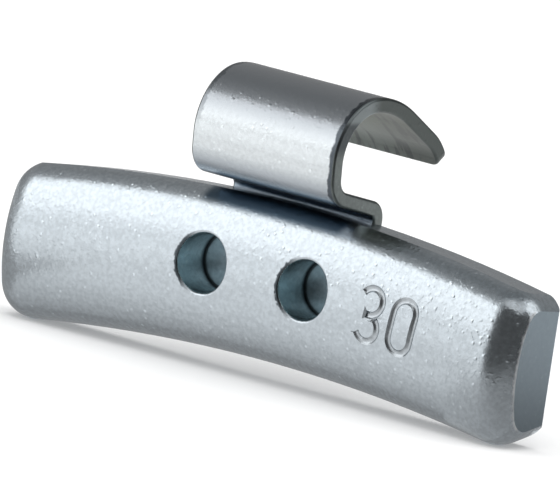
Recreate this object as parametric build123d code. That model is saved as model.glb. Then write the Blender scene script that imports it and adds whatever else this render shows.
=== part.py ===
from build123d import *
from math import radians, tan
import os

# Clip-on wheel balance weight: an arched steel bar riveted to a bent spring clip.
# Millimetres. X runs along the rim, -Y faces outboard, +Z points away from the wheel's axle.
# The origin is the seat of the rim flange: the centre of the hook's front bend, at mid-width.

# Spring clip: strip, and its bends in order from the tip to the tail
strip_thickness = 1.2
strip_width = 14.2
lip_length = 1.0           # short straight at the tip
lip_radius = 4.0           # inside radius of the tip's bend
lip_angle = 21.0
back_length = 3.65         # straight that slopes down to the tip
crest_radius = 7.9         # inside radius of the gentle bend behind the crest
crest_angle = 30.0
seat_radius = 3.8          # inside radius of the front bend, which sits on the flange
wall_length = 1.05         # straight below the front bend
wall_lean = 6.0            # degrees, the wall leans towards the back as it falls
neck_radius = 1.25         # inside radius of the bend from the wall into the foot
foot_length = 3.9          # straight over the top of the bar
foot_slope = 11.0          # degrees, falling towards the back
heel_radius = 0.45         # inside radius of the bend from the foot into the tail
tail_length = 9.8          # flat tail behind the bar
tail_width = 18.0          # the tail is wider than the hook, to take the rivets
tail_shoulder = 0.8        # from the start of the tail down to its wide part
tail_corner = 1.5
strip_edge_round = 0.22    # rolled edges of the stamped strip
tip_corner = 0.8

# Bar
bar_length = 51.4          # end face to end face
bar_depth = 6.05           # front crown to back face
bar_top = 6.6              # top edge above the crown line, at mid-length and at the crown's depth
bar_bottom = 7.0           # bottom edge below the crown line, at the same place
top_arc_radius = 150.0
bottom_arc_radius = 162.0
crown_line_radius = 156.0
top_draft = 4.0            # degrees, the top face falls towards the back
bottom_draft = 12.0        # degrees, the bottom face rises towards the back
crown_radius = 13.3        # roundness of the front across its height
front_blend = 3.0          # rounding all round the front, and of its corners
edge_overrun = 0.17        # the rounding stops this far short of running into the top and bottom
end_overrun = 0.4          # and this far short of running into the end faces
top_corner = 1.0           # corners of the flat sides
bottom_corner = 0.5
back_edge_round = 0.25
heel_clearance = 0.03      # from the bar's top edge up to the start of the heel bend

# Rivets: punched from the front, peened over the tail at the back
rivet_spacing = 10.1
rivet_rise = 0.5           # above the crown line
punch_diameter = 4.8
punch_taper = 0.3          # how much narrower the hole is at its bottom
punch_depth = 3.4
punch_rim_round = 0.2
peg_diameter = 4.0
peg_clearance = 0.1        # round each peg, in the tail's holes
head_diameter = 5.6
head_height = 0.9
head_rim = 0.25

# Pocket in the back of the bar for the tail
pocket_depth = 0.7
pocket_clearance = 0.2

# Room for a cutting shape to pass beyond the surface that it cuts
cut_margin = 1.0


def bend(line, inside_radius, angle):
    """Arc of the strip's middle line that carries on from a line. A positive angle turns left."""
    return JernArc(line @ 1, line % 1, inside_radius + strip_thickness / 2, angle)


def straight(line, length):
    """Straight of the strip's middle line that carries on from a line."""
    return PolarLine(line @ 1, length, direction=line % 1)


# Middle line of the clip, in Y and Z, outward both ways from the start of the front bend
front_sweep = 90 + wall_lean
front_bend = CenterArc((0, 0), seat_radius + strip_thickness / 2, 90 + front_sweep, -front_sweep)
crest = bend(front_bend, crest_radius, -crest_angle)
back = straight(crest, back_length)
lip_bend = bend(back, lip_radius, -lip_angle)
lip = straight(lip_bend, lip_length)

wall = PolarLine(front_bend @ 0, wall_length, direction=-(front_bend % 0))
neck = bend(wall, neck_radius, 90 - wall_lean - foot_slope)
foot = straight(neck, foot_length)
heel = bend(foot, heel_radius, foot_slope - 90)
tail = straight(heel, tail_length)

# The tail places the bar: the pocket's floor lies on the tail's front face
heel_end = heel @ 1
tail_end = tail @ 1
tail_front_y = tail_end.X - strip_thickness / 2
tail_back_y = tail_end.X + strip_thickness / 2
bar_back_y = tail_front_y + pocket_depth
bar_front_y = bar_back_y - bar_depth
pocket_top = heel_end.Y - heel_clearance
crown_z = pocket_top - bar_top + (bar_depth - pocket_depth) * tan(radians(top_draft))

rivet_places = [(side * rivet_spacing / 2, crown_z + rivet_rise) for side in (-1, 1)]


def arch(arc_radius, draft, crest_z):
    """Cone on an axis along Y. Its crest is at crest_z at the crown's depth and rises by the draft."""
    front_radius = arc_radius - cut_margin * tan(radians(draft))
    back_radius = arc_radius + bar_depth * tan(radians(draft))
    cone = Cone(front_radius, back_radius, bar_depth + cut_margin)
    return Pos(0, bar_front_y + (bar_depth - cut_margin) / 2, crest_z - arc_radius) * Rot(-90, 0, 0) * cone


def arched_block(grow, end_grow):
    """Arched block with flat sides, grown outward at its edges and its ends, from in front of the crown."""
    slab = Box(bar_length + 2 * end_grow, bar_depth + cut_margin, bar_length)
    slab = Pos(0, bar_front_y + (bar_depth - cut_margin) / 2, crown_z) * slab
    under_top = arch(top_arc_radius + grow, -top_draft, crown_z + bar_top + grow)
    below = arch(bottom_arc_radius - grow, bottom_draft, crown_z - bar_bottom - grow)
    return (slab & under_top) - below


def is_corner(edge):
    """True for an edge that runs from the front to the back of the bar."""
    return abs((edge % 0.5).Y) > 0.5


def flat_sides():
    """Arched block with its corners and its back edges rounded."""
    block = arched_block(0, 0)
    block = fillet(block.edges().filter_by(is_corner).sort_by(Axis.Z)[-2:], top_corner)
    block = fillet(block.edges().filter_by(is_corner).sort_by(Axis.Z)[:2], bottom_corner)
    back = block.faces().sort_by(Axis.Y)[-1]
    return fillet(back.edges(), back_edge_round)


def on_back(depth_y):
    """Sketch plane across the bar at a Y, with X to the right and Z up, that extrudes towards -Y."""
    return Plane.XZ.offset(-depth_y)


def tail_outline(clearance):
    """Wide tail plate with a neck as wide as the hook, which runs up past the bar's top."""
    low = tail_end.Y - clearance
    high = heel_end.Y - tail_shoulder + clearance
    plate = RectangleRounded(tail_width + 2 * clearance, high - low, tail_corner)
    neck_height = tail_length + cut_margin
    strip = Rectangle(strip_width + 2 * clearance, neck_height)
    return Pos(0, (low + high) / 2) * plate, Pos(0, low + neck_height / 2) * strip


def rounded_front():
    """Crowned front with its rounding, a little larger than the flat sides."""
    crown_place = Pos(0, bar_front_y + crown_radius, crown_z - crown_line_radius) * Rot(90, 0, 0)
    block = arched_block(edge_overrun, end_overrun) & crown_place * Torus(crown_line_radius, crown_radius)
    back = block.faces().sort_by(Axis.Y)[-1]
    return fillet(block.edges() - back.edges(), front_blend)


def punched_hole(x, z):
    """Tapered blind hole, from in front of the crown."""
    slope = punch_taper / 2 / punch_depth
    mouth = punch_diameter / 2 + slope * cut_margin
    bottom = punch_diameter / 2 - slope * punch_depth
    cone = Cone(mouth, bottom, punch_depth + cut_margin)
    middle_y = bar_front_y + (punch_depth - cut_margin) / 2
    return Pos(x, middle_y, z) * Rot(-90, 0, 0) * cone


def is_hole_wall(face):
    """True for the tapered wall of a punched hole."""
    return face.geom_type == GeomType.CONE and face.bounding_box().size.X <= punch_diameter


def rivet(x, z):
    """Peg from the pocket's floor through the tail, with a peened head behind it."""
    peg = peg_diameter / 2
    head = head_diameter / 2
    root_y = tail_front_y - cut_margin
    head_y = tail_back_y
    flank = Polyline((0, root_y), (peg, root_y), (peg, head_y), (head, head_y), (head, head_y + head_rim))
    dome_height = head_height - head_rim
    dome_radius = (head**2 + dome_height**2) / (2 * dome_height)
    dome_top = head_y + head_height
    dome = RadiusArc(flank @ 1, (0, dome_top), -dome_radius)
    spine = Line((0, dome_top), (0, root_y))
    section = make_face([flank, dome, spine])
    return Pos(x, 0, z) * revolve(section, Axis.Y)


def weight_body():
    """Pressed bar with its punched holes, pocket and rivets."""
    bar = flat_sides() & rounded_front()
    for x, z in rivet_places:
        bar = bar - punched_hole(x, z)
    rims = [hole.edges().sort_by(Axis.Y)[0] for hole in bar.faces().filter_by(is_hole_wall)]
    bar = fillet(rims, punch_rim_round)
    for sketch in tail_outline(pocket_clearance):
        bar = bar - extrude(on_back(bar_back_y + cut_margin) * sketch, pocket_depth + cut_margin)
    for x, z in rivet_places:
        bar = bar + rivet(x, z)
    return bar


def hook_strip():
    """Bent strip from tip to tail, with a rounded tip and rolled edges."""
    middle_line = [tail, heel, foot, neck, wall, front_bend, crest, back, lip_bend, lip]
    section = Plane.YZ * trace(middle_line, strip_thickness)
    strip = extrude(section, strip_width / 2, both=True)
    tip_face = strip.faces().sort_by_distance((0, (lip @ 1).X, (lip @ 1).Y))[0]
    strip = fillet(tip_face.edges().filter_by(lambda edge: edge.length < 2 * strip_thickness), tip_corner)
    cut_sides = strip.faces().sort_by(Axis.X)
    return fillet(cut_sides[0].edges() + cut_sides[-1].edges(), strip_edge_round)


def spring_clip():
    """Hook with a wide flat tail that has a hole for each rivet."""
    plate = extrude(on_back(tail_back_y) * tail_outline(0)[0], strip_thickness)
    clip = hook_strip() + plate
    for x, z in rivet_places:
        hole = Rot(90, 0, 0) * Cylinder(peg_diameter / 2 + peg_clearance, strip_thickness + 2 * cut_margin)
        clip = clip - Pos(x, tail_end.X, z) * hole
    return clip


os.makedirs("parts", exist_ok=True)
for name, solid in (("weight_body", weight_body()), ("spring_clip", spring_clip())):
    solid.label = name
    export_step(solid, f"parts/{name}.step")
    print(name, "volume", round(solid.volume, 1), "box", solid.bounding_box())
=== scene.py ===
import math

import bmesh
import bpy
from mathutils import Matrix, Vector
from mathutils.kdtree import KDTree


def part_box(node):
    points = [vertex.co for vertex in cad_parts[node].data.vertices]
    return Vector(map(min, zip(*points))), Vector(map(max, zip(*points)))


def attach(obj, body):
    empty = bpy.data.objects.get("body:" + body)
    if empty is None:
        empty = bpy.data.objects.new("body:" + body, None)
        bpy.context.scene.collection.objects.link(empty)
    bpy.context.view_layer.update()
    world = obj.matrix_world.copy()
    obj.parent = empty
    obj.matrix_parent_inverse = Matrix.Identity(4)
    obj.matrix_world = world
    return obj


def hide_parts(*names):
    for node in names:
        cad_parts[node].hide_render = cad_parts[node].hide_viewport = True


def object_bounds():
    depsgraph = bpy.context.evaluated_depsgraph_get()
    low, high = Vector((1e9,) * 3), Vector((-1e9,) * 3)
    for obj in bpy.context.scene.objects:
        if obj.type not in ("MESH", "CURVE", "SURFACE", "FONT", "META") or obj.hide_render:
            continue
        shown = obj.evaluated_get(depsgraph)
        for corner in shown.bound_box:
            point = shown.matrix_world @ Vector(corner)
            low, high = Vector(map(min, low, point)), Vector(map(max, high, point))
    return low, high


# Clip-on wheel balance weight: zinc-plated bar and spring clip on a pale floor.
# Metres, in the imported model's frame. X runs along the rim, -Y faces outboard, +Z is up.

MM = 0.001

# Camera, as in the photograph
CAMERA_AZIMUTH = 36.4456           # degrees, like every angle here
CAMERA_ELEVATION = 8.8275
CAMERA_ROLL = 8.6131
CAMERA_DISTANCE = 1650 * MM
CAMERA_REACH = (0.1, 100)          # nearest and farthest that it shows
SENSOR_WIDTH = 36                  # mm, as the lens is
PIXELS_PER_MM = 12.7572
PICTURE_WIDTH = 560                # pixels
VIEW_RIGHT = -1.7566 * MM          # picture's centre from the hook's seat, to the right
VIEW_UP = -8.6116 * MM             # and upward

# Floor, and the radiance of the lamps
FLOOR_HALF_SIZE = 4
FLOOR_COLOUR = 0.8
FLOOR_GLOW = 0.19                  # added where the camera and reflections see the floor
SOFTBOX = 1.31
SOFTBOX_SKIRT = 0.68
SOFTBOX_DISTANCE = 0.8
FLOOR_LAMP = 1.65
FLOOR_LAMP_HEIGHT = 2.0
FLOOR_LAMP_SIZE = 3.0

# Soft lights in the world. Each has an azimuth and elevation, the cosines from its middle at which it
# ends and is full, and a radiance.
WORLD_BASE = (0.155, 0.165, 0.17)
WORLD_GLOWS = (
    (-72, 20, 0.64, 1.0, 0.40),
    (-144, 9, 0.3, 0.9, 0.28),
    (30, 5, 0.2, 0.8, 0.45),
    (20, 50, 0.77, 1.0, 0.9),
    (115, 45, 0.84, 1.0, 1.3),
)

# Studio flags that lie on the floor. Each has a level, higher where it overlaps another, and four corners
# of X and Y in mm and a radiance.
FLAG_LIFT = 0.2                    # mm, of the lowest level from the floor
FLAG_STEP = 0.1                    # mm, between levels
FLOOR_FLAGS = {
    # front_flag, dimmer next to the bar, and under_flag are painted shadow: they stand in for the floor's
    # shadow near and under the bar, where reflections show it.
    "front_flag": (0, (-27, -13, 0.95), (26, -13, 0.95), (26, -3, 0.42), (-27, -3, 0.42)),
    "front_far_flag": (0, (-90, -13, 1.05), (26, -13, 0.78), (26, -70, 0.9), (-90, -70, 1.1)),
    "under_flag": (0, (-27, -3, 0.33), (27, -3, 0.33), (27, 3.4, 0.33), (-27, 3.4, 0.33)),
    "left_flag": (0, (-400, -80, 0.36), (-27, -18, 0.36), (-27, 60, 0.36), (-400, 200, 0.36)),
    "right_flag": (1, (25, -30, 0.32), (60, -30, 0.32), (60, 20, 0.32), (25, 20, 0.32)),
    "right_front_flag": (2, (19, -2, 0.5), (2, -40, 0.7), (27, -40, 0.33), (27, -2, 0.33)),
}

# Dark flags that stand on the floor, each with X, Y and the top's Z in mm at its two ends
STANDING_RADIANCE = 0.07
STANDING_FLAGS = {
    "standing_front_flag": ((12, -30, 30), (60, -30, 30)),
    "standing_side_flag": ((60, -30, 30), (60, 2, 20)),
}

# Zinc plate. A pair of values, for it, for painted shade or for a stain, says where something starts and
# where it is full.
PIMPLE_SPACING = 0.6 * MM
PIMPLE_REACH = (0.33, 0.06)        # from a pimple's middle, in spacings
PIMPLE_CHANCE = (0.35, 0.95)       # of a pimple's random value
PIMPLE_GLINT = 4                   # painted glint on each pimple's top, in specks
GRAIN_SIZE = 0.42 * MM
GRAIN_NOISE = (0.5, 0.78)
GRAIN_HEIGHT = 0.45                # in pimples
SPECK_SIZE = 0.35 * MM
SPECK_NOISE = (0.32, 0.68)
# Painted highlight, pale and matt, along thin lines where a rounded edge would catch the light
HIGHLIGHT_LINE_COLOUR = (0.93, 0.95, 0.96)
HIGHLIGHT_LINE_ROUGHNESS = 0.75

# Bar's crowned front, and the two holes punched in it
CROWN_HEIGHT = -11.1576 * MM
CROWN_LINE_RADIUS = 156 * MM
CROWN_RADIUS = 13.3 * MM
HOLE_SIDE = 5.05 * MM              # each hole from mid-length
HOLE_RISE = 0.5 * MM               # above the crown line
HOLE_RADIUS = 2.41 * MM

# Materials of the faces, in their order on each piece
BAR_OUTSIDE, BAR_END, HOLE_WALL, HOLE_BOTTOM = range(4)
CLIP_OUTSIDE, CLIP_INSIDE, CLIP_EDGE = range(3)
END_FACING = 0.98                  # least X part of an end face's normal
END_DEPTH = 0.5 * MM
BOTTOM_FACING = -0.9               # greatest Y part of a hole bottom's normal
EDGE_FACING = 0.15                 # least X part of a cut edge's normal
HOOK_BOTTOM = -4.5 * MM

# Painted shadow on the bar below the clip
CLIP_SHADOW_SIDE = (7.4 * MM, 6.4 * MM)         # from mid-length
CLIP_SHADOW_HEIGHT = (-6.3 * MM, -5.5 * MM)
CLIP_SHADOW_COLOUR = (0.10, 0.15, 0.20)

# Dark ragged rim on the left of each hole
RIM_RADIUS = (2.98 * MM, 2.84 * MM)
RIM_SIDE = (-0.8 * MM, -2.0 * MM)              # from the hole's middle
RIM_WANDER = 0.5 * MM
RIM_WANDER_SIZE = 0.3 * MM
RIM_COLOUR = (0.08, 0.095, 0.105)

# Painted shade in the corner round the bottom of each hole
CORNER_RADIUS = (2.0 * MM, 2.15 * MM)
CORNER_DEPTH = (2.7 * MM, 3.35 * MM)           # from the bar's front
CORNER_SHADE_COLOUR = (0.07, 0.09, 0.10)

# Painted highlight line round each end face, by the X and Y parts of the normal
LINE_FACING_END = (0.82, 0.85)
LINE_FACING_FRONT = (-0.2, -0.35)
LINE_SIDE = (20 * MM, 21 * MM)                 # from mid-length

# Painted shade over the top and the neck of the clip
TOP_HEIGHT = (0.5 * MM, 2.5 * MM)
TOP_SHADE_COLOUR = (0.45, 0.48, 0.51)
NECK_HEIGHT = (-1.0 * MM, -3.2 * MM)
NECK_SHADE_COLOUR = (0.38, 0.42, 0.46)

# Dark ragged border along the clip's cut edges, weaker and higher up on the left
BORDER_SIDE = (6.75 * MM, 6.95 * MM)
BORDER_WANDER = 0.6 * MM
BORDER_WANDER_SIZE = 0.6 * MM
BORDER_HEIGHT_RIGHT = (-5 * MM, -4 * MM)
BORDER_HEIGHT_LEFT = (-0.5 * MM, 2 * MM)
BORDER_STRENGTH_LEFT = 0.5
BORDER_CHANGE = (-MM, MM)          # from left to right
BORDER_COLOUR = (0.10, 0.115, 0.13)

# Inside of the hook: paler at the back, painted shade on the right, with dark rub marks
BACK_INSIDE_DEPTH = (3 * MM, 8 * MM)
BACK_INSIDE_COLOUR = (0.165, 0.183, 0.172)
RIGHT_INSIDE_SIDE = (0, 6 * MM)
RIGHT_INSIDE_STRENGTH = 0.5
RIGHT_INSIDE_SHADE_COLOUR = (0.07, 0.075, 0.07)
MARK_SIZE = 1.0 * MM
MARK_SCALE = (1.6, 0.3, 0.3)
MARK_NOISE = (0.5, 0.62)
MARK_STRENGTH = 0.6
MARK_COLOUR = (0.06, 0.065, 0.065)

# Cut edges of the clip: darker in front, lighter over the crest, darker again along the back
FRONT_DARK_HEIGHT = (0, 1.3 * MM)
FRONT_DARK_COLOUR = (0.08, 0.09, 0.095)
CREST_HEIGHT = (2.8 * MM, 3.3 * MM)
CREST_COLOUR = (0.21, 0.235, 0.24)
BACK_EDGE_DEPTH = (-1.5 * MM, 0.2 * MM)
BACK_EDGE_HEIGHT = (-2 * MM, -MM)
BACK_EDGE_COLOUR = (0.092, 0.103, 0.10)

# Number engraved in the crown, as tubes sunk into it
DIGIT_HALF_WIDTH = 1.05 * MM
DIGIT_RISE = 0.45 * MM             # middle of the digits above the crown line
DIGIT_PLACES = (11.8 * MM, 15.1 * MM)
THREE_UPPER_BOWL = (150, -90)      # start and end, clockwise
THREE_LOWER_BOWL = (52, -150)
THREE_WAIST = DIGIT_HALF_WIDTH / 4  # end of the upper bowl, left of its middle
ARC_STEP = 12
GROOVE_RADIUS = 0.35 * MM
GROOVE_LIFT = 0.17 * MM            # of the tubes' middle out of the surface
GROOVE_DETAIL = 3                  # bevel resolution of the tubes
SAME_PLACE = 1e-7                  # distance within which two corners are one

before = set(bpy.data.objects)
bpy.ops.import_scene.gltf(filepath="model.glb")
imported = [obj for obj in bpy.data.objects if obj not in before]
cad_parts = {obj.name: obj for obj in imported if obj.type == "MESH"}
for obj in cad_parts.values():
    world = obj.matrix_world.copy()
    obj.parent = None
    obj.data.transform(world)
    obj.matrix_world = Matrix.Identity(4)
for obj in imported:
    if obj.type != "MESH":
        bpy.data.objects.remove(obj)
cad_low, cad_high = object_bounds()
bar_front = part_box("weight_body")[0].y
crown_axis = Vector((0, bar_front + CROWN_RADIUS, CROWN_HEIGHT - CROWN_LINE_RADIUS))


def direction(azimuth, elevation):
    """Unit vector towards a place around the object. Azimuth 0 is in front and positive is to the right."""
    turn = math.radians(azimuth)
    tip = math.radians(elevation)
    level = math.cos(tip)
    return Vector((math.sin(turn) * level, -math.cos(turn) * level, math.sin(tip)))


def add_camera():
    """Long-lens camera turned, tipped and rolled about the object."""
    turn = math.radians(CAMERA_AZIMUTH)
    right = Vector((math.cos(turn), math.sin(turn), 0))
    back = direction(CAMERA_AZIMUTH, CAMERA_ELEVATION)
    right.rotate(Matrix.Rotation(math.radians(CAMERA_ROLL), 3, back))
    up = back.cross(right)
    centre = right * VIEW_RIGHT + up * VIEW_UP
    data = bpy.data.cameras.new("camera")
    data.sensor_width = SENSOR_WIDTH
    data.lens = PIXELS_PER_MM * (CAMERA_DISTANCE / MM) * SENSOR_WIDTH / PICTURE_WIDTH
    data.clip_start, data.clip_end = CAMERA_REACH
    camera = bpy.data.objects.new("camera", data)
    aim = Matrix((right, up, back)).transposed().to_4x4()
    camera.matrix_world = Matrix.Translation(centre + back * CAMERA_DISTANCE) @ aim
    bpy.context.collection.objects.link(camera)
    bpy.context.scene.camera = camera


def add_node(tree, kind, inputs=None, **settings):
    """New node with its settings, and with each input set to a value or linked to a socket."""
    node = tree.nodes.new(kind)
    for name, value in settings.items():
        setattr(node, name, value)
    for name, value in (inputs or {}).items():
        if isinstance(value, bpy.types.NodeSocket):
            tree.links.new(value, node.inputs[name])
        else:
            node.inputs[name].default_value = value
    return node


def ramp(tree, value, span, first=0.0, last=1.0):
    """Smooth step of a value, from the first result at the span's start to the last at its end."""
    start, end = span
    inputs = {"Value": value, "From Min": start, "From Max": end, "To Min": first, "To Max": last}
    return add_node(tree, "ShaderNodeMapRange", inputs, interpolation_type="SMOOTHSTEP").outputs["Result"]


def blend(tree, factor, first, second):
    """Mix of two colours, each a triple or a socket."""
    inputs = {"Factor": factor}
    for name, colour in (("A", first), ("B", second)):
        inputs[name] = colour if isinstance(colour, bpy.types.NodeSocket) else (*colour, 1)
    return add_node(tree, "ShaderNodeMix", inputs, data_type="RGBA").outputs["Result"]


def calculate(tree, operation, first, second=0.0):
    """Result of a math node on values or sockets."""
    return add_node(tree, "ShaderNodeMath", {0: first, 1: second}, operation=operation).outputs[0]


def split(tree, vector):
    """X, Y and Z of a vector."""
    return add_node(tree, "ShaderNodeSeparateXYZ", {"Vector": vector}).outputs


def noise(tree, place, size, detail=2):
    """Noise with features of about a size."""
    inputs = {"Vector": place, "Scale": 1 / size, "Detail": detail}
    return add_node(tree, "ShaderNodeTexNoise", inputs).outputs["Fac"]


def ragged(tree, value, place, size, amount):
    """Value raised by up to an amount, unevenly, so that a line drawn by it wanders."""
    wander = calculate(tree, "MULTIPLY", noise(tree, place, size), amount)
    return calculate(tree, "ADD", value, wander)


def new_material(name):
    """Empty node material, with its tree and output node."""
    material = bpy.data.materials.new(name)
    material.use_nodes = True
    material.node_tree.nodes.clear()
    output = add_node(material.node_tree, "ShaderNodeOutputMaterial")
    return material, material.node_tree, output


def zinc_material(name, colour, roughness, pimple_height, speck, shade_and_stain=None, highlight_line=None):
    """Zinc plate with pimples and specks, each pimple's top painted lighter as a glint. A shade-and-stain
    function changes its colour with painted shade and stains, and a highlight-line mask says where a
    painted highlight makes it pale and matt.
    """
    material, tree, output = new_material(name)
    place = add_node(tree, "ShaderNodeTexCoord").outputs["Object"]
    dark = [value * (1 - speck) for value in colour]
    light = [min(1, value * (1 + speck)) for value in colour]
    glint_colour = [min(1, value * (1 + PIMPLE_GLINT * speck)) for value in colour]
    cells = add_node(tree, "ShaderNodeTexVoronoi", {"Vector": place, "Scale": 1 / PIMPLE_SPACING}).outputs
    chance = add_node(tree, "ShaderNodeSeparateColor", {"Color": cells["Color"]}).outputs["Red"]
    chance = ramp(tree, chance, PIMPLE_CHANCE)
    pimples = calculate(tree, "MULTIPLY", ramp(tree, cells["Distance"], PIMPLE_REACH), chance)
    shade = blend(tree, ramp(tree, noise(tree, place, SPECK_SIZE), SPECK_NOISE), dark, light)
    # each pimple's top painted lighter, as a glint
    shade = blend(tree, pimples, shade, glint_colour)
    # painted shade and stains, by the function given
    if shade_and_stain:
        shade = shade_and_stain(tree, place, shade)
    if highlight_line:
        # painted highlight line: pale colour and matt roughness
        amount = highlight_line(tree, place)
        shade = blend(tree, amount, shade, HIGHLIGHT_LINE_COLOUR)
        roughness = ramp(tree, amount, (0, 1), roughness, HIGHLIGHT_LINE_ROUGHNESS)
    grain = ramp(tree, noise(tree, place, GRAIN_SIZE, detail=1), GRAIN_NOISE)
    height = calculate(tree, "ADD", pimples, calculate(tree, "MULTIPLY", grain, GRAIN_HEIGHT))
    bump = add_node(tree, "ShaderNodeBump", {"Height": height, "Distance": pimple_height})
    shader = add_node(tree, "ShaderNodeBsdfPrincipled", {
        "Base Color": shade, "Metallic": 1.0, "Roughness": roughness, "Normal": bump.outputs["Normal"]})
    tree.links.new(shader.outputs["BSDF"], output.inputs["Surface"])
    return material


def from_hole(tree, axes):
    """Distance of a place from the axis of the nearest punched hole, and how far it is to the right."""
    middle = calculate(tree, "MULTIPLY", calculate(tree, "SIGN", axes["X"]), HOLE_SIDE)
    side = calculate(tree, "SUBTRACT", axes["X"], middle)
    rise = calculate(tree, "SUBTRACT", axes["Z"], CROWN_HEIGHT + HOLE_RISE)
    squares = [calculate(tree, "MULTIPLY", value, value) for value in (side, rise)]
    return calculate(tree, "SQRT", calculate(tree, "ADD", *squares)), side


def bar_shadow_and_rim(tree, place, shade):
    """Painted shadow on the top edge below the clip, and a dark ragged rim on the left of each hole."""
    axes = split(tree, place)
    across = ramp(tree, calculate(tree, "ABSOLUTE", axes["X"]), CLIP_SHADOW_SIDE)
    # painted shadow where the clip's shade falls on the bar's top edge
    below = calculate(tree, "MULTIPLY", across, ramp(tree, axes["Z"], CLIP_SHADOW_HEIGHT))
    shade = blend(tree, below, shade, CLIP_SHADOW_COLOUR)
    radius, side = from_hole(tree, axes)
    rim = ramp(tree, ragged(tree, radius, place, RIM_WANDER_SIZE, RIM_WANDER), RIM_RADIUS)
    rim = calculate(tree, "MULTIPLY", rim, ramp(tree, side, RIM_SIDE))
    return blend(tree, rim, shade, RIM_COLOUR)


def end_highlight_lines(tree, place):
    """Thin line of painted highlight round each end face, where the rounded front runs into it."""
    facing = split(tree, add_node(tree, "ShaderNodeTexCoord").outputs["Normal"])
    line = ramp(tree, calculate(tree, "ABSOLUTE", facing["X"]), LINE_FACING_END)
    line = calculate(tree, "MULTIPLY", line, ramp(tree, facing["Y"], LINE_FACING_FRONT))
    at_end = ramp(tree, calculate(tree, "ABSOLUTE", split(tree, place)["X"]), LINE_SIDE)
    return calculate(tree, "MULTIPLY", line, at_end)


def hole_corner_shade(tree, place, shade):
    """Painted shade in the corner round the bottom of a punched hole."""
    axes = split(tree, place)
    outer = ramp(tree, from_hole(tree, axes)[0], CORNER_RADIUS)
    deep = ramp(tree, axes["Y"], [bar_front + depth for depth in CORNER_DEPTH])
    # painted shade where the hole's wall meets its bottom
    return blend(tree, calculate(tree, "MULTIPLY", outer, deep), shade, CORNER_SHADE_COLOUR)


def clip_shade_and_border(tree, place, shade):
    """Painted shade over the top of the hook and into the neck, and dark along the cut edges."""
    axes = split(tree, place)
    # painted shade on the top of the hook and in its neck
    shade = blend(tree, ramp(tree, axes["Z"], TOP_HEIGHT), shade, TOP_SHADE_COLOUR)
    shade = blend(tree, ramp(tree, axes["Z"], NECK_HEIGHT), shade, NECK_SHADE_COLOUR)
    across = calculate(tree, "ABSOLUTE", axes["X"])
    border = ramp(tree, ragged(tree, across, place, BORDER_WANDER_SIZE, BORDER_WANDER), BORDER_SIDE)
    left = ramp(tree, axes["Z"], BORDER_HEIGHT_LEFT, last=BORDER_STRENGTH_LEFT)
    right = ramp(tree, axes["Z"], BORDER_HEIGHT_RIGHT)
    sides = {"Factor": ramp(tree, axes["X"], BORDER_CHANGE), "A": left, "B": right}
    strength = add_node(tree, "ShaderNodeMix", sides).outputs["Result"]
    return blend(tree, calculate(tree, "MULTIPLY", border, strength), shade, BORDER_COLOUR)


def inside_shade_and_marks(tree, place, shade):
    """Paler at the back of the hook, with painted shade towards the right, and dark rub marks."""
    axes = split(tree, place)
    shade = blend(tree, ramp(tree, axes["Y"], BACK_INSIDE_DEPTH), shade, BACK_INSIDE_COLOUR)
    # painted shade towards the right
    right = ramp(tree, axes["X"], RIGHT_INSIDE_SIDE, last=RIGHT_INSIDE_STRENGTH)
    shade = blend(tree, right, shade, RIGHT_INSIDE_SHADE_COLOUR)
    inputs = {"Vector": place, "Scale": MARK_SCALE}
    stretched = add_node(tree, "ShaderNodeMapping", inputs, vector_type="POINT").outputs["Vector"]
    marks = ramp(tree, noise(tree, stretched, MARK_SIZE), MARK_NOISE, last=MARK_STRENGTH)
    return blend(tree, marks, shade, MARK_COLOUR)


def edge_tones(tree, place, shade):
    """Darker up the front of the hook and along its back, and lighter over its crest."""
    axes = split(tree, place)
    shade = blend(tree, ramp(tree, axes["Z"], FRONT_DARK_HEIGHT), shade, FRONT_DARK_COLOUR)
    shade = blend(tree, ramp(tree, axes["Z"], CREST_HEIGHT), shade, CREST_COLOUR)
    back = ramp(tree, axes["Y"], BACK_EDGE_DEPTH)
    back = calculate(tree, "MULTIPLY", back, ramp(tree, axes["Z"], BACK_EDGE_HEIGHT))
    return blend(tree, back, shade, BACK_EDGE_COLOUR)


def floor_material():
    """Matt white floor that still shows the object's shadow."""
    material, tree, output = new_material("floor")
    colour = (FLOOR_COLOUR, FLOOR_COLOUR, FLOOR_COLOUR, 1)
    matt = add_node(tree, "ShaderNodeBsdfDiffuse", {"Color": colour}).outputs["BSDF"]
    glow = add_node(tree, "ShaderNodeEmission", {"Strength": FLOOR_GLOW}).outputs["Emission"]
    lit = add_node(tree, "ShaderNodeAddShader", {0: matt, 1: glow}).outputs["Shader"]
    path = add_node(tree, "ShaderNodeLightPath").outputs
    seen = calculate(tree, "MAXIMUM", path["Is Camera Ray"], path["Is Glossy Ray"])
    seen = calculate(tree, "MAXIMUM", seen, path["Is Transmission Ray"])
    mix = add_node(tree, "ShaderNodeMixShader", {"Fac": seen, 1: matt, 2: lit})
    tree.links.new(mix.outputs["Shader"], output.inputs["Surface"])
    return material


def flag_material():
    """Even glow of each corner's own radiance."""
    material, tree, output = new_material("flag")
    shade = add_node(tree, "ShaderNodeAttribute", attribute_name="shade")
    glow = add_node(tree, "ShaderNodeEmission", {"Strength": shade.outputs["Fac"]})
    tree.links.new(glow.outputs["Emission"], output.inputs["Surface"])
    return material


def add_staged(name, corners, material):
    """Flat sheet with a material."""
    mesh = bpy.data.meshes.new(name)
    mesh.from_pydata(corners, [], [tuple(range(len(corners)))])
    mesh.materials.append(material)
    sheet = bpy.data.objects.new(name, mesh)
    bpy.context.collection.objects.link(sheet)
    return sheet


def add_floor():
    """Plain pale floor under the object."""
    size = FLOOR_HALF_SIZE
    corners = [(-size, -size), (size, -size), (size, size), (-size, size)]
    add_staged("floor", [(x, y, cad_low.z) for x, y in corners], floor_material())


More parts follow.
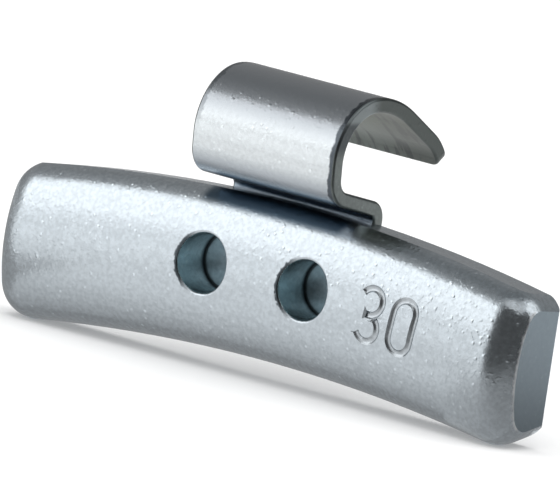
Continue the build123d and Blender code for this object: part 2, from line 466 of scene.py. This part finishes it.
def add_flag(name, corners, radiances, material):
    """Card that only reflections show, from its corners in mm and the radiance of each."""
    flag = add_staged(name, [Vector(corner) * MM for corner in corners], material)
    shades = flag.data.attributes.new("shade", "FLOAT", "POINT")
    for point, radiance in zip(shades.data, radiances):
        point.value = radiance
    flag.visible_camera = False
    flag.visible_diffuse = False
    flag.visible_shadow = False


def add_flags():
    """Flags that lie and stand on the floor round the object."""
    material = flag_material()
    lowest = cad_low.z / MM + FLAG_LIFT
    for name, (level, *corners) in FLOOR_FLAGS.items():
        height = lowest + level * FLAG_STEP
        places = [(*corner[:2], height) for corner in corners]
        add_flag(name, places, [corner[2] for corner in corners], material)
    for name, (start, end) in STANDING_FLAGS.items():
        places = [(*start[:2], lowest), (*end[:2], lowest), end, start]
        add_flag(name, places, [STANDING_RADIANCE] * len(places), material)


def add_area_light(name, azimuth, elevation, distance, width, height, radiance):
    """Soft rectangular lamp that faces the object."""
    data = bpy.data.lights.new(name, "AREA")
    data.shape = "RECTANGLE"
    data.size = width
    data.size_y = height
    data.energy = radiance * math.pi * width * height
    lamp = bpy.data.objects.new(name, data)
    back = direction(azimuth, elevation)
    lamp.location = back * distance
    lamp.rotation_mode = "QUATERNION"
    lamp.rotation_quaternion = (-back).to_track_quat("-Z", "Y")
    bpy.context.collection.objects.link(lamp)
    return lamp


def add_lamps():
    """Softbox on the left with a dimmer skirt below it, and a lamp overhead that reflections don't show."""
    add_area_light(
        "softbox", azimuth=-45, elevation=26, distance=SOFTBOX_DISTANCE, width=0.59, height=0.51,
        radiance=SOFTBOX)
    add_area_light(
        "softbox_skirt", azimuth=-44, elevation=3.35, distance=SOFTBOX_DISTANCE, width=0.58, height=0.13,
        radiance=SOFTBOX_SKIRT)
    floor_lamp = add_area_light(
        "floor_lamp", azimuth=0, elevation=90, distance=FLOOR_LAMP_HEIGHT, width=FLOOR_LAMP_SIZE,
        height=FLOOR_LAMP_SIZE, radiance=FLOOR_LAMP)
    floor_lamp.visible_glossy = False


def add_world():
    """Dim grey surroundings with soft lights."""
    world = bpy.data.worlds.new("world")
    world.use_nodes = True
    tree = world.node_tree
    place = add_node(tree, "ShaderNodeTexCoord").outputs["Generated"]
    shade = WORLD_BASE
    for azimuth, elevation, outer, inner, radiance in WORLD_GLOWS:
        inputs = {0: place, 1: direction(azimuth, elevation)}
        nearness = add_node(tree, "ShaderNodeVectorMath", inputs, operation="DOT_PRODUCT").outputs["Value"]
        glow = ramp(tree, nearness, (outer, inner))
        shade = blend(tree, glow, shade, (radiance, radiance, radiance))
    tree.links.new(shade, tree.nodes["Background"].inputs["Color"])
    bpy.context.scene.world = world


def bar_face(normal, middle):
    """Which of the bar's materials a face has."""
    if abs(normal.x) > END_FACING and abs(middle.x) > cad_high.x - END_DEPTH:
        return BAR_END
    radius = math.hypot(abs(middle.x) - HOLE_SIDE, middle.z - CROWN_HEIGHT - HOLE_RISE)
    if radius < HOLE_RADIUS and middle.y < 0:
        return HOLE_BOTTOM if normal.y < BOTTOM_FACING else HOLE_WALL
    return BAR_OUTSIDE


def clip_face(normal, middle):
    """Which of the clip's materials a face has. The hook curls round the X axis."""
    if abs(normal.x) > EDGE_FACING:
        return CLIP_EDGE
    inward = normal.y * middle.y + normal.z * middle.z < 0
    return CLIP_INSIDE if inward and middle.z > HOOK_BOTTOM else CLIP_OUTSIDE


def node_copy(node, materials, material_of):
    """Copy of a CAD node's mesh with a material for each face, chosen from the face's normal and middle."""
    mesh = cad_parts[node].data.copy()
    mesh.name = node + "_plated"
    mesh.materials.clear()
    for material in materials:
        mesh.materials.append(material)
    for face in mesh.polygons:
        face.material_index = material_of(face.normal, face.center)
    return mesh


def dress(node, mesh):
    """Piece that takes the place of a CAD node."""
    piece = bpy.data.objects.new(mesh.name, mesh)
    bpy.context.collection.objects.link(piece)
    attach(piece, "root")
    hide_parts(node)


def crown_out(point):
    """Way out of the crown at a point, from the nearest place on the crown's middle line."""
    radial = Vector((point.x, 0, point.z - crown_axis.z)).normalized()
    core = crown_axis + radial * CROWN_LINE_RADIUS
    return (point - core).normalized()


def crown_place(along, across):
    """Place of the tubes' middle over the crown, from distances along the bar and across it."""
    turn = along / CROWN_LINE_RADIUS
    tip = math.asin(across / CROWN_RADIUS)
    radial = Vector((math.sin(turn), 0, math.cos(turn)))
    out = radial * math.sin(tip) - Vector((0, math.cos(tip), 0))
    return crown_axis + radial * CROWN_LINE_RADIUS + out * (CROWN_RADIUS + GROOVE_LIFT)


def arc(along, across, start, end):
    """Points of an arc of a digit about a middle, clockwise from a start angle to an end angle."""
    points = []
    count = round((start - end) / ARC_STEP)
    for step in range(count + 1):
        angle = math.radians(start + (end - start) * step / count)
        right = DIGIT_HALF_WIDTH * math.cos(angle)
        up = DIGIT_HALF_WIDTH * math.sin(angle)
        points.append((along + right, across + up))
    return points


def digit_strokes():
    """Middle lines of a three and a nought, each with whether it is closed."""
    high = DIGIT_RISE + DIGIT_HALF_WIDTH
    low = DIGIT_RISE - DIGIT_HALF_WIDTH
    three, nought = DIGIT_PLACES
    yield arc(three, high, *THREE_UPPER_BOWL) + [(three - THREE_WAIST, DIGIT_RISE)], False
    yield arc(three, low, *THREE_LOWER_BOWL), False
    yield arc(nought, high, 180, 0) + arc(nought, low, 0, -180), True


def evaluated_mesh(item):
    """Mesh of an object as its curve or modifiers make it."""
    return bpy.data.meshes.new_from_object(item.evaluated_get(bpy.context.evaluated_depsgraph_get()))


def number_cutter(material):
    """Tubes along the strokes of the number."""
    curve = bpy.data.curves.new("number", "CURVE")
    curve.dimensions = "3D"
    curve.bevel_depth = GROOVE_RADIUS
    curve.bevel_resolution = GROOVE_DETAIL
    curve.use_fill_caps = True
    for points, closed in digit_strokes():
        spline = curve.splines.new("POLY")
        spline.points.add(len(points) - 1)
        for target, (along, across) in zip(spline.points, points):
            target.co = (*crown_place(along, across), 1)
        spline.use_cyclic_u = closed
    tubes = bpy.data.objects.new("number", curve)
    bpy.context.collection.objects.link(tubes)
    mesh = evaluated_mesh(tubes)
    bpy.data.objects.remove(tubes)
    outward = bmesh.new()
    outward.from_mesh(mesh)
    bmesh.ops.recalc_face_normals(outward, faces=outward.faces)
    outward.to_mesh(mesh)
    outward.free()
    mesh.materials.clear()
    mesh.materials.append(material)
    return mesh


def corner_normals(mesh):
    """Normal at each corner of a mesh's faces, and a tree that finds corners by their place."""
    normals = [loop.normal.copy() for loop in mesh.loops]
    tree = KDTree(len(normals))
    for loop in mesh.loops:
        tree.insert(mesh.vertices[loop.vertex_index].co, loop.index)
    tree.balance()
    return normals, tree


def weld(mesh):
    """Joins vertices at the same place, which closes the mesh."""
    closed = bmesh.new()
    closed.from_mesh(mesh)
    bmesh.ops.remove_doubles(closed, verts=closed.verts, dist=SAME_PLACE)
    closed.to_mesh(mesh)
    closed.free()


def cut_out(mesh, cutter_mesh):
    """Mesh with a cutter taken out of it. It takes the place and the name of the first mesh."""
    cutter = bpy.data.objects.new("cutter", cutter_mesh)
    blank = bpy.data.objects.new("blank", mesh)
    for item in (cutter, blank):
        bpy.context.collection.objects.link(item)
    cut = blank.modifiers.new("engraving", "BOOLEAN")
    cut.operation = "DIFFERENCE"
    cut.solver = "EXACT"
    cut.use_self = True
    cut.material_mode = "TRANSFER"
    cut.object = cutter
    result = evaluated_mesh(blank)
    for item in (cutter, blank):
        bpy.data.objects.remove(item)
    name = mesh.name
    bpy.data.meshes.remove(mesh)
    result.name = name
    return result


def engraved(mesh, groove_material):
    """The bar's mesh with the number cut into it. Its surface keeps the CAD node's normals."""
    cad_normals, cad_corners = corner_normals(mesh)
    weld(mesh)
    groove_index = len(mesh.materials)
    mesh.materials.append(groove_material)
    result = cut_out(mesh, number_cutter(groove_material))
    normals = []
    for face in result.polygons:
        for vertex in face.vertices:
            place = result.vertices[vertex].co
            near = [cad_normals[found[1]] for found in cad_corners.find_range(place, SAME_PLACE)]
            if face.material_index == groove_index:
                normals.append(Vector((0, 0, 0)))   # zero leaves the groove its own normal
            elif near:
                normals.append(max(near, key=face.normal.dot))
            else:
                normals.append(crown_out(place))
    result.shade_smooth()
    result.normals_split_custom_set(normals)
    return result


def bar_mesh():
    """Plated bar, with its own looks for the end faces, the holes and the number."""
    outside = zinc_material(
        "zinc_bar", (0.577, 0.633, 0.675), roughness=0.26, pimple_height=0.023 * MM, speck=0.07,
        shade_and_stain=bar_shadow_and_rim, highlight_line=end_highlight_lines)
    # Painted shade: the same zinc plate, coloured darker on the end faces.
    end = zinc_material(
        "zinc_bar_end", (0.265, 0.315, 0.352), roughness=0.45, pimple_height=0.004 * MM, speck=0.02)
    # The holes' wall is painted lighter than the plate and their bottom painted darker, for the light and
    # shade inside the holes.
    hole_wall = zinc_material(
        "zinc_hole", (0.65, 0.78, 0.81), roughness=0.26, pimple_height=0.014 * MM, speck=0.1,
        shade_and_stain=hole_corner_shade)
    hole_bottom = zinc_material(
        "zinc_hole_bottom", (0.235, 0.30, 0.34), roughness=0.35, pimple_height=0.01 * MM, speck=0.1,
        shade_and_stain=hole_corner_shade)
    # Painted shade: the plate coloured a little darker in the engraved grooves.
    groove = zinc_material(
        "zinc_groove", (0.50, 0.54, 0.57), roughness=0.3, pimple_height=0.01 * MM, speck=0.1)
    blank = node_copy("weight_body", [outside, end, hole_wall, hole_bottom], bar_face)
    return engraved(blank, groove)


def clip_mesh():
    """Plated clip, with its own looks for the inside of the hook and the cut edges."""
    outside = zinc_material(
        "zinc_clip", (0.69, 0.73, 0.75), roughness=0.27, pimple_height=0.015 * MM, speck=0.04,
        shade_and_stain=clip_shade_and_border)
    # Painted shade: the inside of the hook is the same zinc, coloured dark and olive.
    inside = zinc_material(
        "zinc_clip_inside", (0.132, 0.15, 0.12), roughness=0.42, pimple_height=0.006 * MM, speck=0.04,
        shade_and_stain=inside_shade_and_marks)
    # Painted shade: the clip's cut edges are the same zinc, coloured dark.
    edge = zinc_material(
        "zinc_clip_edge", (0.157, 0.176, 0.172), roughness=0.4, pimple_height=0.012 * MM, speck=0.08,
        shade_and_stain=edge_tones)
    return node_copy("spring_clip", [outside, inside, edge], clip_face)


add_camera()
add_floor()
add_world()
add_lamps()
add_flags()
dress("weight_body", bar_mesh())
dress("spring_clip", clip_mesh())

bpy.context.scene.view_settings.view_transform = "Standard"
